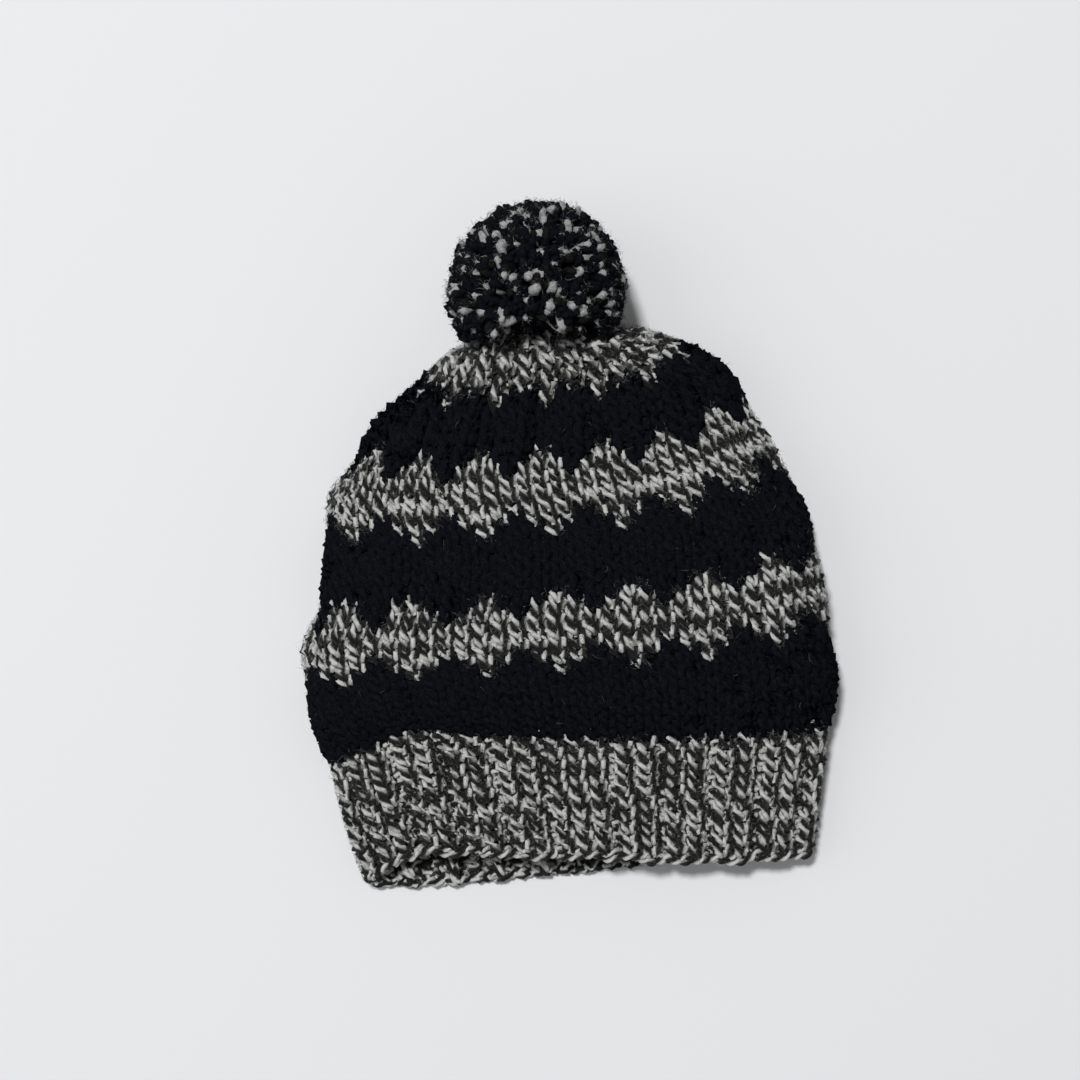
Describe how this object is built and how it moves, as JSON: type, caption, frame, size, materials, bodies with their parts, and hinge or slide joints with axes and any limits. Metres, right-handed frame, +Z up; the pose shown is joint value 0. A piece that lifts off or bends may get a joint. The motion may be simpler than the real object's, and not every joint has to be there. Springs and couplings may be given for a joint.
{
  "type": "knitted wool hat",
  "caption": "Chunky hand-knitted wool beanie lying flat, with a ribbed marl band, black and marl zigzag stripes, a gathered crown and a round yarn pompom.",
  "frame": {"origin": "middle of the underside of the lying hat, under the centre of its box", "axes": "+Z up from the table, +Y from the rim to the pompom, +X to the right of the hat seen from above"},
  "size_m": [0.2384, 0.3008, 0.0777],
  "materials": {
    "marl_wool": "two-ply cream and black wool, matt",
    "black_wool": "soft matt black wool",
    "pompom_wool": "cut black, charcoal and white yarn ends"
  },
  "bodies": {
    "root": {"rib_band": "marl_wool", "black_stripe_low": "black_wool", "marl_stripe_low": "marl_wool", "black_stripe_mid": "black_wool", "marl_stripe_mid": "marl_wool", "black_stripe_top": "black_wool", "marl_cap": "marl_wool", "pompom": "pompom_wool"}
  },
  "joints": []
}
